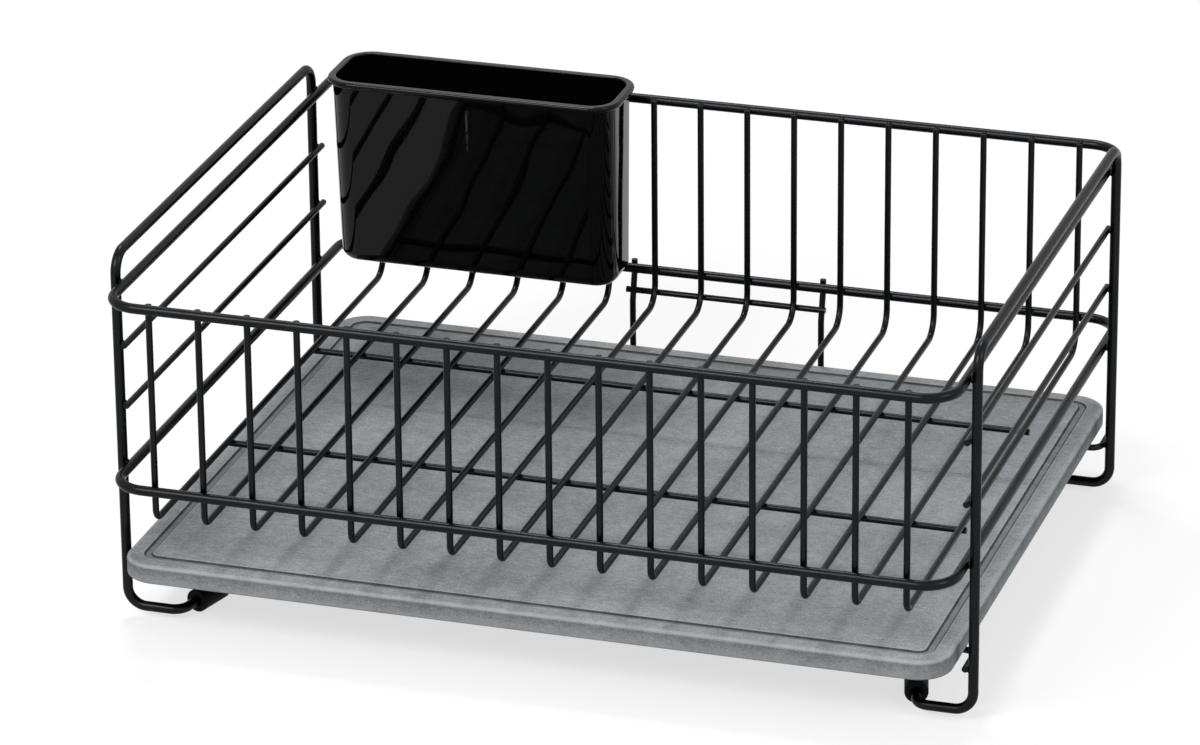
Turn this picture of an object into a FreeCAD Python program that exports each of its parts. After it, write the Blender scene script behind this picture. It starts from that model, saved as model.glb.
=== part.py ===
import FreeCAD, Part
import math
import os

from FreeCAD import Vector

# Dish drainer basket: a welded wire rack on four capped feet, a stone board
# that slides out under it, and a moulded cutlery pocket on the rear rim.
# Millimetres. X runs along the long side, Y from front to back, Z up.
# The origin is on the floor, under the middle of the basket's rim.

# Wire stock, measured over the coating
FRAME_WIRE = 5.4
BASKET_WIRE = 3.5
WELD_SINK = 0.12

# Rings of the basket, sizes between centre lines
RING_LENGTH = 448.0
RING_DEPTH = 366.0
RING_CORNER_RADIUS = 17.0
RIM_HEIGHT = 188.8
RING_SPACING = 101.5

# Basket wires, bent to a U, open at the top
WIRE_COUNT = 16
WIRE_END_MARGIN = 23.0
WIRE_TOP_RISE = 1.2
WIRE_FLOOR_DROP = 17.5
FRONT_BEND_RADIUS = 6.0
REAR_BEND_RADIUS = 12.0

# Straight wires welded under the basket floor
FLOOR_WIRE_SPACING = 133.4
FLOOR_WIRE_OVERHANG = 2.0

# End frames: a top rail with two legs and two feet, one wire each
FRONT_LEG_INSET = 31.2
REAR_LEG_INSET = 37.5
TOP_RAIL_RISE = 14.8
TOP_RAIL_BEND_RADIUS = 11.0
FOOT_BEND_RADIUS = 10.0
FOOT_REACH = 29.6
FOOT_TURN_RADIUS = 8.0
FOOT_TAIL = 33.0
FOOT_TOE_IN = 15.0

# Side wires between the legs, in thirds of the ring spacing
SIDE_WIRE_COUNT = 2
SIDE_WIRE_OVERHANG = 3.0

# Rubber foot caps
CAP_DIAMETER = 12.5
CAP_LENGTH = 23.5
CAP_END_WALL = 4.0
CAP_EDGE_RADIUS = 2.0
CAP_MOUTH_RADIUS = 1.0
CAP_FIT_GAP = 0.05

# Supports under the board
SUPPORT_HEIGHT = 29.3
SUPPORT_BEND_RADIUS = 6.0
FRONT_SUPPORT_STUB = 23.0
FRONT_SUPPORT_OVERHANG = 1.0
REAR_SUPPORT_STUB = 18.5
REAR_SUPPORT_OVERHANG = 12.5

# Drain board, with its clearances to the legs on either side
BOARD_LEFT_CLEARANCE = 1.78
BOARD_RIGHT_CLEARANCE = 6.18
BOARD_DEPTH = 358.4
BOARD_THICKNESS = 10.4
BOARD_CORNER_RADIUS = 18.0
BOARD_TOP_EDGE_RADIUS = 2.0
BOARD_BOTTOM_EDGE_RADIUS = 1.2
GROOVE_INSET = 9.0
GROOVE_WIDTH = 4.8
GROOVE_DEPTH = 1.0
GROOVE_WALL_SLOPE = 0.7
RUNNING_GAP = 0.3

# Board stop, behind the lower ring
STOP_SPACING = 109.5
STOP_RISE = 3.6
STOP_JOG = 4.0
STOP_JOG_DROP = 17.0
STOP_BEND_RADIUS = 9.0
STOP_CROSSBAR_DROP = 12.5
STOP_CROSSBAR_OVERHANG = 3.0
STOP_BELOW_BOARD_TOP = 9.0

# Cutlery pocket
POCKET_LENGTH = 164.0
POCKET_DEPTH = 50.0
POCKET_HEIGHT = 110.0
POCKET_TOP_RISE = 15.0
POCKET_END_INSET = 11.0
POCKET_CORNER_RADIUS = 14.0
POCKET_END_TAPER = 1.5
POCKET_FRONT_TAPER = 7.0
POCKET_REAR_TAPER = 0.8
POCKET_BOTTOM_RADIUS = 6.5
POCKET_WALL = 2.0
LIP_WIDTH = 2.6
LIP_HEIGHT = 3.4
DIVIDER_THICKNESS = 1.6
DIVIDER_DROP = 12.0
DRAIN_SLOT_WIDTH = 3.4
DRAIN_SLOT_LENGTH = 22.0
DRAIN_SLOT_PITCH = 13.0
DRAIN_SLOT_COUNT = 4
HOOK_WIDTH = 16.0
HOOK_SPACING = 84.0
HOOK_THICKNESS = 2.4
HOOK_DROP = 11.0
HOOK_GAP = 0.3

# Values worked out from the sizes above
FRAME_R = FRAME_WIRE / 2
BASKET_R = BASKET_WIRE / 2
HALF_LENGTH = RING_LENGTH / 2
HALF_DEPTH = RING_DEPTH / 2
LOWER_HEIGHT = RIM_HEIGHT - RING_SPACING
WIRE_FLOOR_HEIGHT = LOWER_HEIGHT - WIRE_FLOOR_DROP
WIRE_TO_RING = FRAME_R + BASKET_R - WELD_SINK
WIRE_FRONT_Y = -HALF_DEPTH + WIRE_TO_RING
WIRE_REAR_Y = HALF_DEPTH - WIRE_TO_RING
WIRE_ROW_HALF = HALF_LENGTH - WIRE_END_MARGIN
WIRE_PITCH = 2 * WIRE_ROW_HALF / (WIRE_COUNT - 1)
LEG_X = HALF_LENGTH + FRAME_WIRE - WELD_SINK
FRONT_LEG_Y = -HALF_DEPTH + FRONT_LEG_INSET
REAR_LEG_Y = HALF_DEPTH - REAR_LEG_INSET
TOP_RAIL_HEIGHT = RIM_HEIGHT + TOP_RAIL_RISE
FOOT_HEIGHT = CAP_DIAMETER / 2
INNER_WIRE_X = LEG_X - WIRE_TO_RING
BOARD_LEFT_X = -LEG_X + FRAME_R + BOARD_LEFT_CLEARANCE
BOARD_RIGHT_X = LEG_X - FRAME_R - BOARD_RIGHT_CLEARANCE
BOARD_LENGTH = BOARD_RIGHT_X - BOARD_LEFT_X
BOARD_CENTRE_X = (BOARD_LEFT_X + BOARD_RIGHT_X) / 2
BOARD_BOTTOM = SUPPORT_HEIGHT + BASKET_R + RUNNING_GAP
BOARD_TOP = BOARD_BOTTOM + BOARD_THICKNESS
FRONT_SUPPORT_TIP_Y = FRONT_LEG_Y - FRONT_SUPPORT_OVERHANG
REAR_SUPPORT_TIP_Y = REAR_LEG_Y + REAR_SUPPORT_OVERHANG
STOP_TOP_Y = HALF_DEPTH + WIRE_TO_RING
STOP_Y = STOP_TOP_Y - STOP_JOG
BOARD_REAR_Y = STOP_Y - BASKET_R - RUNNING_GAP
BOARD_FRONT_Y = BOARD_REAR_Y - BOARD_DEPTH
POCKET_CENTRE_X = -HALF_LENGTH + POCKET_END_INSET + POCKET_LENGTH / 2
POCKET_TOP = RIM_HEIGHT + POCKET_TOP_RISE
POCKET_BOTTOM = POCKET_TOP - POCKET_HEIGHT
LIP_REAR_Y = WIRE_REAR_Y - BASKET_R - HOOK_GAP
POCKET_REAR_Y = LIP_REAR_Y - LIP_WIDTH
POCKET_CENTRE_Y = POCKET_REAR_Y - POCKET_DEPTH / 2


def unit(vector):
    """Copy of a vector, one long."""
    copy = Vector(vector)
    copy.normalize()
    return copy


def corner_arc(before, corner, after, radius):
    """Arc that rounds a corner of a path, with its two tangent points."""
    towards_before = unit(before - corner)
    towards_after = unit(after - corner)
    half_angle = towards_before.getAngle(towards_after) / 2
    setback = radius / math.tan(half_angle)
    start = corner + towards_before * setback
    end = corner + towards_after * setback
    bisector = unit(towards_before + towards_after)
    middle = corner + bisector * (radius / math.sin(half_angle) - radius)
    return start, end, Part.Arc(start, middle, end).toShape()


def bent_path(points, radii):
    """Open path of straight runs, joined by tangent arcs at inner points."""
    edges = []
    here = points[0]
    for index in range(1, len(points) - 1):
        start, end, arc = corner_arc(points[index - 1], points[index], points[index + 1], radii[index - 1])
        edges.append(Part.makeLine(here, start))
        edges.append(arc)
        here = end
    edges.append(Part.makeLine(here, points[-1]))
    return Part.Wire(edges)


def bent_wire(points, radii, diameter):
    """Round wire bent along a path."""
    path = bent_path(points, radii)
    direction = points[1] - points[0]
    section = Part.Wire([Part.makeCircle(diameter / 2, points[0], direction)])
    return path.makePipeShell([section], True, False)


def straight_wire(start, end, diameter):
    """Round wire cut to length, without a bend."""
    direction = end - start
    return Part.makeCylinder(diameter / 2, direction.Length, start, direction)


def rounded_outline(length, depth, radius, centre_x, centre_y, height):
    """Closed wire of a rectangle with rounded corners, seen from above."""
    west = centre_x - length / 2
    east = centre_x + length / 2
    south = centre_y - depth / 2
    north = centre_y + depth / 2
    bulge = radius * math.sqrt(0.5)
    corners = [
        (east - radius, south + radius, 1, -1),
        (east - radius, north - radius, 1, 1),
        (west + radius, north - radius, -1, 1),
        (west + radius, south + radius, -1, -1),
    ]
    edges = []
    first = Vector(west + radius, south, height)
    here = first
    for x, y, side_x, side_y in corners:
        along_x = Vector(x, y + side_y * radius, height)
        along_y = Vector(x + side_x * radius, y, height)
        middle = Vector(x + side_x * bulge, y + side_y * bulge, height)
        start, end = (along_x, along_y) if side_x * side_y < 0 else (along_y, along_x)
        edges.append(Part.makeLine(here, start))
        edges.append(Part.Arc(start, middle, end).toShape())
        here = end
    return Part.Wire(edges)


def ring(height):
    """Closed ring of frame wire with four rounded corners."""
    path = rounded_outline(RING_LENGTH, RING_DEPTH, RING_CORNER_RADIUS, 0, 0, height)
    start = Vector(-HALF_LENGTH + RING_CORNER_RADIUS, -HALF_DEPTH, height)
    section = Part.Wire([Part.makeCircle(FRAME_R, start, Vector(1, 0, 0))])
    return path.makePipeShell([section], True, False)


def basket_wire(x):
    """U-shaped wire: front upright, floor run and rear upright."""
    top = RIM_HEIGHT + WIRE_TOP_RISE
    points = [
        Vector(x, WIRE_FRONT_Y, top),
        Vector(x, WIRE_FRONT_Y, WIRE_FLOOR_HEIGHT),
        Vector(x, WIRE_REAR_Y, WIRE_FLOOR_HEIGHT),
        Vector(x, WIRE_REAR_Y, top),
    ]
    return bent_wire(points, [FRONT_BEND_RADIUS, REAR_BEND_RADIUS], BASKET_WIRE)


def floor_wire(y):
    """Straight wire along X, welded under all the basket wires."""
    reach = WIRE_ROW_HALF + FLOOR_WIRE_OVERHANG
    height = WIRE_FLOOR_HEIGHT - BASKET_WIRE + WELD_SINK
    return straight_wire(Vector(-reach, y, height), Vector(reach, y, height), BASKET_WIRE)


def foot_tail(side, leg_y, inward):
    """Corner of a foot, and the direction of the tail that ends it."""
    corner = Vector(side * (LEG_X - FOOT_REACH), leg_y, FOOT_HEIGHT)
    toe_in = math.radians(FOOT_TOE_IN)
    direction = Vector(-side * math.sin(toe_in), inward * math.cos(toe_in), 0)
    return corner, direction


def end_frame(side):
    """Top rail, two legs and two feet bent from one wire; side is -1 or 1."""
    leg_x = side * LEG_X
    front_corner, front_tail = foot_tail(side, FRONT_LEG_Y, 1)
    rear_corner, rear_tail = foot_tail(side, REAR_LEG_Y, -1)
    points = [
        front_corner + front_tail * FOOT_TAIL,
        front_corner,
        Vector(leg_x, FRONT_LEG_Y, FOOT_HEIGHT),
        Vector(leg_x, FRONT_LEG_Y, TOP_RAIL_HEIGHT),
        Vector(leg_x, REAR_LEG_Y, TOP_RAIL_HEIGHT),
        Vector(leg_x, REAR_LEG_Y, FOOT_HEIGHT),
        rear_corner,
        rear_corner + rear_tail * FOOT_TAIL,
    ]
    radii = [
        FOOT_TURN_RADIUS,
        FOOT_BEND_RADIUS,
        TOP_RAIL_BEND_RADIUS,
        TOP_RAIL_BEND_RADIUS,
        FOOT_BEND_RADIUS,
        FOOT_TURN_RADIUS,
    ]
    return bent_wire(points, radii, FRAME_WIRE)


def side_wire(side, step):
    """Straight wire along Y on the inner faces of two legs."""
    x = side * INNER_WIRE_X
    height = RIM_HEIGHT - RING_SPACING * step / (SIDE_WIRE_COUNT + 1)
    start = Vector(x, FRONT_LEG_Y - SIDE_WIRE_OVERHANG, height)
    end = Vector(x, REAR_LEG_Y + SIDE_WIRE_OVERHANG, height)
    return straight_wire(start, end, BASKET_WIRE)


def board_support(tip_y, run_y):
    """Wire across under the board, its ends turned along the legs."""
    points = [
        Vector(-INNER_WIRE_X, tip_y, SUPPORT_HEIGHT),
        Vector(-INNER_WIRE_X, run_y, SUPPORT_HEIGHT),
        Vector(INNER_WIRE_X, run_y, SUPPORT_HEIGHT),
        Vector(INNER_WIRE_X, tip_y, SUPPORT_HEIGHT),
    ]
    return bent_wire(points, [SUPPORT_BEND_RADIUS, SUPPORT_BEND_RADIUS], BASKET_WIRE)


def stop_upright(side):
    """Upright behind the lower ring, set forward below it to the board."""
    x = side * STOP_SPACING / 2
    jog_top = LOWER_HEIGHT - FRAME_R
    points = [
        Vector(x, STOP_TOP_Y, LOWER_HEIGHT + STOP_RISE),
        Vector(x, STOP_TOP_Y, jog_top),
        Vector(x, STOP_Y, jog_top - STOP_JOG_DROP),
        Vector(x, STOP_Y, BOARD_TOP - STOP_BELOW_BOARD_TOP),
    ]
    return bent_wire(points, [STOP_BEND_RADIUS, STOP_BEND_RADIUS], BASKET_WIRE)


def stop_crossbar():
    """Short wire that joins the two uprights on their front faces."""
    drop = STOP_CROSSBAR_DROP - FRAME_R
    jog_angle = math.atan2(STOP_JOG, STOP_JOG_DROP)
    upright_y = STOP_TOP_Y - STOP_JOG * drop / STOP_JOG_DROP
    y = upright_y - (BASKET_WIRE - WELD_SINK) / math.cos(jog_angle)
    reach = STOP_SPACING / 2 + STOP_CROSSBAR_OVERHANG
    height = LOWER_HEIGHT - STOP_CROSSBAR_DROP
    return straight_wire(Vector(-reach, y, height), Vector(reach, y, height), BASKET_WIRE)


def round_edges_near(solid, centre, radius):
    """Solid with the closed edges round a point filleted."""
    rims = [
        edge
        for edge in solid.Edges
        if edge.Closed and edge.CenterOfMass.distanceToPoint(centre) < radius / 2
    ]
    return solid.makeFillet(radius, rims)


def foot_cap(side, leg_y, inward):
    """Rubber cap pushed on the end of a foot."""
    corner, axis = foot_tail(side, leg_y, inward)
    closed_end = corner + axis * (FOOT_TAIL + CAP_END_WALL)
    mouth = closed_end - axis * CAP_LENGTH
    cap = Part.makeCylinder(CAP_DIAMETER / 2, CAP_LENGTH, mouth, axis)
    cap = round_edges_near(cap, closed_end, CAP_EDGE_RADIUS)
    cap = round_edges_near(cap, mouth, CAP_MOUTH_RADIUS)
    bore_radius = FRAME_R + CAP_FIT_GAP
    bore_depth = CAP_LENGTH - CAP_END_WALL + CAP_FIT_GAP
    return cap.cut(Part.makeCylinder(bore_radius, bore_depth, mouth, axis))


def board_groove():
    """Shallow channel with sloped walls, all round the board's top near its edge."""
    middle = GROOVE_INSET + GROOVE_WIDTH / 2
    centre_y = (BOARD_FRONT_Y + BOARD_REAR_Y) / 2
    length = BOARD_LENGTH - 2 * middle
    depth = BOARD_DEPTH - 2 * middle
    radius = BOARD_CORNER_RADIUS - middle
    path = rounded_outline(length, depth, radius, BOARD_CENTRE_X, centre_y, BOARD_TOP)
    start_x = BOARD_CENTRE_X - length / 2 + radius
    start_y = centre_y - depth / 2
    half_top = GROOVE_WIDTH / 2 + GROOVE_WALL_SLOPE * GROOVE_DEPTH
    half_floor = GROOVE_WIDTH / 2 - GROOVE_WALL_SLOPE * GROOVE_DEPTH
    corners = [
        Vector(start_x, start_y - half_top, BOARD_TOP + GROOVE_DEPTH),
        Vector(start_x, start_y - half_floor, BOARD_TOP - GROOVE_DEPTH),
        Vector(start_x, start_y + half_floor, BOARD_TOP - GROOVE_DEPTH),
        Vector(start_x, start_y + half_top, BOARD_TOP + GROOVE_DEPTH),
    ]
    section = Part.makePolygon(corners + corners[:1])
    return path.makePipeShell([section], True, False)


def horizontal_edges(solid, height):
    """Edges of a solid that lie flat at one height."""
    found = []
    for edge in solid.Edges:
        box = edge.BoundBox
        if abs(box.ZMin - height) < 0.01 and abs(box.ZMax - height) < 0.01:
            found.append(edge)
    return found


def drain_board():
    """Stone slab with rounded corners, eased edges and a groove on top."""
    centre_y = (BOARD_FRONT_Y + BOARD_REAR_Y) / 2
    outline = rounded_outline(
        BOARD_LENGTH, BOARD_DEPTH, BOARD_CORNER_RADIUS, BOARD_CENTRE_X, centre_y, BOARD_BOTTOM
    )
    slab = Part.Face(outline).extrude(Vector(0, 0, BOARD_THICKNESS))
    slab = slab.makeFillet(BOARD_TOP_EDGE_RADIUS, horizontal_edges(slab, BOARD_TOP))
    slab = slab.makeFillet(BOARD_BOTTOM_EDGE_RADIUS, horizontal_edges(slab, BOARD_BOTTOM))
    return slab.cut(board_groove())


def tub(inset, bottom, top, bottom_radius):
    """Tapered tub with rounded corners; inset moves its walls inwards."""
    radius = POCKET_CORNER_RADIUS - inset
    length = POCKET_LENGTH - 2 * inset
    depth = POCKET_DEPTH - 2 * inset
    lower = rounded_outline(
        length - 2 * POCKET_END_TAPER,
        depth - POCKET_FRONT_TAPER - POCKET_REAR_TAPER,
        radius - POCKET_END_TAPER,
        POCKET_CENTRE_X,
        POCKET_CENTRE_Y + (POCKET_FRONT_TAPER - POCKET_REAR_TAPER) / 2,
        bottom,
    )
    upper = rounded_outline(length, depth, radius, POCKET_CENTRE_X, POCKET_CENTRE_Y, top)
    body = Part.makeLoft([lower, upper], True, True)
    return body.makeFillet(bottom_radius, horizontal_edges(body, bottom))


def pocket_lip():
    """Bead round the pocket's mouth."""
    height = POCKET_TOP - LIP_HEIGHT
    outline = rounded_outline(
        POCKET_LENGTH + 2 * LIP_WIDTH,
        POCKET_DEPTH + 2 * LIP_WIDTH,
        POCKET_CORNER_RADIUS + LIP_WIDTH,
        POCKET_CENTRE_X,
        POCKET_CENTRE_Y,
        height,
    )
    bead = Part.Face(outline).extrude(Vector(0, 0, LIP_HEIGHT))
    rounding = LIP_HEIGHT * 0.4
    bead = bead.makeFillet(rounding, horizontal_edges(bead, POCKET_TOP) + horizontal_edges(bead, height))
    return bead


def pocket_hook(x):
    """Hook that goes over the rear rim and down behind it."""
    under = RIM_HEIGHT + FRAME_R + HOOK_GAP
    inner_y = HALF_DEPTH + FRAME_R + HOOK_GAP
    outer_y = inner_y + HOOK_THICKNESS
    root_y = POCKET_REAR_Y - POCKET_WALL / 2
    left = x - HOOK_WIDTH / 2
    arm = Part.makeBox(HOOK_WIDTH, outer_y - root_y, HOOK_THICKNESS, Vector(left, root_y, under))
    tongue = Part.makeBox(
        HOOK_WIDTH, HOOK_THICKNESS, HOOK_DROP + HOOK_THICKNESS, Vector(left, inner_y, under - HOOK_DROP)
    )
    return arm.fuse(tongue).removeSplitter()


def drain_slot(x, y):
    """Slot through the pocket's floor, with round ends, along Y."""
    half_run = (DRAIN_SLOT_LENGTH - DRAIN_SLOT_WIDTH) / 2
    base = POCKET_BOTTOM - POCKET_WALL
    height = 3 * POCKET_WALL
    slot = Part.makeBox(
        DRAIN_SLOT_WIDTH, 2 * half_run, height, Vector(x - DRAIN_SLOT_WIDTH / 2, y - half_run, base)
    )
    for end_y in (y - half_run, y + half_run):
        slot = slot.fuse(Part.makeCylinder(DRAIN_SLOT_WIDTH / 2, height, Vector(x, end_y, base)))
    return slot


def cutlery_pocket():
    """Moulded pocket with a lip, one divider, floor slots and two hooks."""
    outer = tub(0, POCKET_BOTTOM, POCKET_TOP - LIP_HEIGHT / 2, POCKET_BOTTOM_RADIUS)
    inner_radius = POCKET_BOTTOM_RADIUS - POCKET_WALL
    inner = tub(POCKET_WALL, POCKET_BOTTOM + POCKET_WALL, POCKET_TOP + POCKET_WALL, inner_radius)
    hooks = [pocket_hook(POCKET_CENTRE_X + side * HOOK_SPACING / 2) for side in (-1, 1)]
    shell = outer.fuse([pocket_lip()] + hooks).cut(inner)
    divider = Part.makeBox(
        DIVIDER_THICKNESS,
        POCKET_DEPTH,
        POCKET_HEIGHT - DIVIDER_DROP,
        Vector(POCKET_CENTRE_X - DIVIDER_THICKNESS / 2, POCKET_CENTRE_Y - POCKET_DEPTH / 2, POCKET_BOTTOM),
    )
    shell = shell.fuse(divider.common(outer))
    compartment = (POCKET_LENGTH - DIVIDER_THICKNESS) / 4 + DIVIDER_THICKNESS / 2
    first = -(DRAIN_SLOT_COUNT - 1) * DRAIN_SLOT_PITCH / 2
    floor_y = POCKET_CENTRE_Y + (POCKET_FRONT_TAPER - POCKET_REAR_TAPER) / 2
    for side in (-1, 1):
        for index in range(DRAIN_SLOT_COUNT):
            x = POCKET_CENTRE_X + side * compartment + first + index * DRAIN_SLOT_PITCH
            shell = shell.cut(drain_slot(x, floor_y))
    return shell


def build_nodes():
    """All pieces, by node name."""
    nodes = {
        "rim_ring": ring(RIM_HEIGHT),
        "lower_ring": ring(LOWER_HEIGHT),
        "front_floor_wire": floor_wire(-FLOOR_WIRE_SPACING / 2),
        "rear_floor_wire": floor_wire(FLOOR_WIRE_SPACING / 2),
        "front_board_support": board_support(FRONT_SUPPORT_TIP_Y, FRONT_SUPPORT_TIP_Y + FRONT_SUPPORT_STUB),
        "rear_board_support": board_support(REAR_SUPPORT_TIP_Y, REAR_SUPPORT_TIP_Y - REAR_SUPPORT_STUB),
        "stop_crossbar": stop_crossbar(),
        "drain_board": drain_board(),
        "cutlery_pocket": cutlery_pocket(),
    }
    for index in range(WIRE_COUNT):
        x = index * WIRE_PITCH - WIRE_ROW_HALF
        nodes["basket_wire_%02d" % (index + 1)] = basket_wire(x)
    for name, side in (("left", -1), ("right", 1)):
        nodes[name + "_end_frame"] = end_frame(side)
        nodes[name + "_upper_side_wire"] = side_wire(side, 1)
        nodes[name + "_lower_side_wire"] = side_wire(side, 2)
        nodes[name + "_stop_upright"] = stop_upright(side)
        nodes["front_" + name + "_foot_cap"] = foot_cap(side, FRONT_LEG_Y, 1)
        nodes["rear_" + name + "_foot_cap"] = foot_cap(side, REAR_LEG_Y, -1)
    return nodes


def main():
    """Write one STEP file for each piece."""
    os.makedirs("parts", exist_ok=True)
    for name, shape in build_nodes().items():
        solid = shape.Solids[0] if len(shape.Solids) == 1 else shape
        solid.exportStep(os.path.join("parts", name + ".step"))
        print(name, "valid" if solid.isValid() else "NOT VALID", len(shape.Solids), round(solid.Volume, 1))


main()
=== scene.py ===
import math

import bmesh
import bpy
from mathutils import Matrix, Vector


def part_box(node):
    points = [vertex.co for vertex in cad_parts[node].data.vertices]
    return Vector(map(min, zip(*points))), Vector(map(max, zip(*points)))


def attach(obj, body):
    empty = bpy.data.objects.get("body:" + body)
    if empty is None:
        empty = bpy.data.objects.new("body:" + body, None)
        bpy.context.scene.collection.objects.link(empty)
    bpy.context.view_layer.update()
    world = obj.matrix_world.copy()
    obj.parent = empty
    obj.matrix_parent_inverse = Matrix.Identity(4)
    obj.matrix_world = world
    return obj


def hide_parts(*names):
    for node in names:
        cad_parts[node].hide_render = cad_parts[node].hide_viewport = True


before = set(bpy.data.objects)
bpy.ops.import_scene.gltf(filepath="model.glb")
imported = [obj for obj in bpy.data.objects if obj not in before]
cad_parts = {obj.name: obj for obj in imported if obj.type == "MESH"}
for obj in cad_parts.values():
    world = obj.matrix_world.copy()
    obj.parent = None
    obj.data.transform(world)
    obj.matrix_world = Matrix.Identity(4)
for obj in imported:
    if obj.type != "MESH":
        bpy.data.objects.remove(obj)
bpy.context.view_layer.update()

bl_info = {
    "name": "Dish Drainer Basket",
    "version": (1, 0, 0),
    "blender": (4, 5, 0),
    "location": "3D View > Sidebar > Dish Drainer",
    "description":
        "Dresses a wire dish drainer with its coat, welds, feet, drip board and cutlery pocket",
    "category": "Object",
}

# The rack's own measures in metres, from the floor under the middle of the rim
RING_HALF_LENGTH = 0.2240
RING_HALF_DEPTH = 0.1830
RING_BEND = 0.0170
RIM_HEIGHT = 0.1888
LOWER_HEIGHT = 0.0873
WIRE_SINK = 0.00012
WIRE_COUNT = 16
WIRE_PITCH = 0.0268
WIRE_TOP_RISE = 0.0012
WIRE_FLOOR_HEIGHT = 0.0698
FRONT_BEND = 0.006
REAR_BEND = 0.012
FLOOR_WIRE_SPACING = 0.1334
FLOOR_WIRE_OVERHANG = 0.002
FRONT_LEG_Y = -0.1518
REAR_LEG_Y = 0.1455
TOP_RAIL_HEIGHT = 0.2036
TOP_RAIL_BEND = 0.011
FOOT_BEND = 0.010
FOOT_REACH = 0.0296
FOOT_TURN = 0.008
FOOT_TAIL = 0.033
FOOT_TOE_IN = math.radians(15.0)
SIDE_WIRE_OVERHANG = 0.003
SUPPORT_HEIGHT = 0.0293
SUPPORT_BEND = 0.006
STOP_SPACING = 0.1095
STOP_JOG = 0.004
STOP_JOG_DROP = 0.017
STOP_BEND = 0.009

# Points along the rounding of a wire's end, in degrees, and the share of the radius at its tip
END_ANGLES = (15, 32, 48, 62, 76, 90)
END_TIP_SHARE = 0.06

# Weld beads, as shares of the weld size
SMALL_WELD = 0.85
LARGE_WELD = 1.25
WELD_FLATNESS = 0.42
WELD_UNEVENNESS = 0.12
WELD_SEED = 7

# Foot caps; a hold, here and below, is how far a loop of points stands off a rounding, so that
# the face beside the rounding stays flat
CAP_END_WALL = 0.004
CAP_FIT_GAP = 0.00005
CAP_SEGMENTS = 40
CAP_LIP = 0.0007
CAP_HOLD = 0.0006
CAP_EDGE = 0.0004
CAP_CENTRE_LOOP = 0.0002

# Board; how pale its edges are, rubbed and with a painted highlight, is a share, and at the top
# edge it is greatest where twice the sine of the arc is TOP_EDGE_WEAR_AND_HIGHLIGHT
BOARD_HOLD = 0.0008
BOARD_CORNER_STEPS = 14
BOTTOM_EDGE_WEAR = 0.6
TOP_EDGE_WEAR_AND_HIGHLIGHT = 1.3

# Cutlery pocket; SLOT_CUT is how far the slots are cut below and above its bottom
POCKET_CORNER_STEPS = 16
LIP_DROP = 0.0034
LIP_ROUNDING = 0.0015
LIP_SQUASH = 0.9
MOUTH_ROUNDING = 0.0007
MOUTH_DEPTH = 0.004
POCKET_FLOOR_HOLD = 0.001
POCKET_LIP_HOLD = 0.0003
HALF_DIVIDER = 0.0008
DIVIDER_DROP = 0.012
DIVIDER_INSIDE = 0.6
MOULDED_EDGE = 0.0005
SLOT_WIDTH = 0.0034
SLOT_RUN = 0.022
SLOT_PITCH = 0.013
SLOT_CUT = (-0.002, 0.004)
HOOK_SPACING = 0.084
HOOK_THICKNESS = 0.0024
HOOK_HALF_WIDTH = 0.008
HOOK_GAP = 0.0003
HOOK_DROP = 0.011
HOOK_TIP_EDGE = 0.0008
HOOK_OUTER_BEND = 0.0022
HOOK_INNER_BEND = 0.0006

# Smallest corner radius of a rounded loop
SMALLEST_CORNER = 0.0004


# Settings in the sidebar

LENGTH = {"subtype": "DISTANCE", "unit": "LENGTH", "precision": 4}
COLOR = {"size": 3, "min": 0.0, "max": 1.0, "subtype": "COLOR"}


class WireSettings(bpy.types.PropertyGroup):
    """Coated steel wire of the rack."""

    frame_diameter: bpy.props.FloatProperty(
        name="Frame Wire", description="Thickness of the rings and the end frames, with the coat",
        default=0.0054, min=0.003, max=0.009, **LENGTH)
    basket_diameter: bpy.props.FloatProperty(
        name="Basket Wire",
        description="Thickness of the basket wires and cross wires, with the coat",
        default=0.0035, min=0.002, max=0.006, **LENGTH)
    sides: bpy.props.IntProperty(
        name="Sides", description="Faces round a wire", default=20, min=8, max=48)
    bend_segments: bpy.props.IntProperty(
        name="Bend Segments", description="Faces along a bend", default=14, min=4, max=48)
    end_rounding: bpy.props.FloatProperty(
        name="End Rounding",
        description="How far the coat rounds a cut end, as a share of the wire's radius",
        default=0.75, min=0.1, max=1.0, subtype="FACTOR")
    weld_size: bpy.props.FloatProperty(
        name="Weld Size", description="Reach of the coated weld round a crossing",
        default=0.0019, min=0.0005, max=0.004, **LENGTH)
    coat_color: bpy.props.FloatVectorProperty(
        name="Coat Colour", description="Colour of the satin coat on the wires",
        default=(0.0138, 0.0148, 0.0163), **COLOR)


class CapSettings(bpy.types.PropertyGroup):
    """Rubber caps of the four feet."""

    diameter: bpy.props.FloatProperty(
        name="Diameter", description="Outer diameter of a foot cap",
        default=0.0125, min=0.008, max=0.02, **LENGTH)
    length: bpy.props.FloatProperty(
        name="Length", description="Length of a foot cap along the wire",
        default=0.0235, min=0.012, max=0.05, **LENGTH)
    end_radius: bpy.props.FloatProperty(
        name="End Radius", description="Rounding of the closed end",
        default=0.002, min=0.0005, max=0.005, **LENGTH)
    rubber_color: bpy.props.FloatVectorProperty(
        name="Rubber Colour", description="Colour of the matt rubber",
        default=(0.0034, 0.0034, 0.0035), **COLOR)


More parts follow.
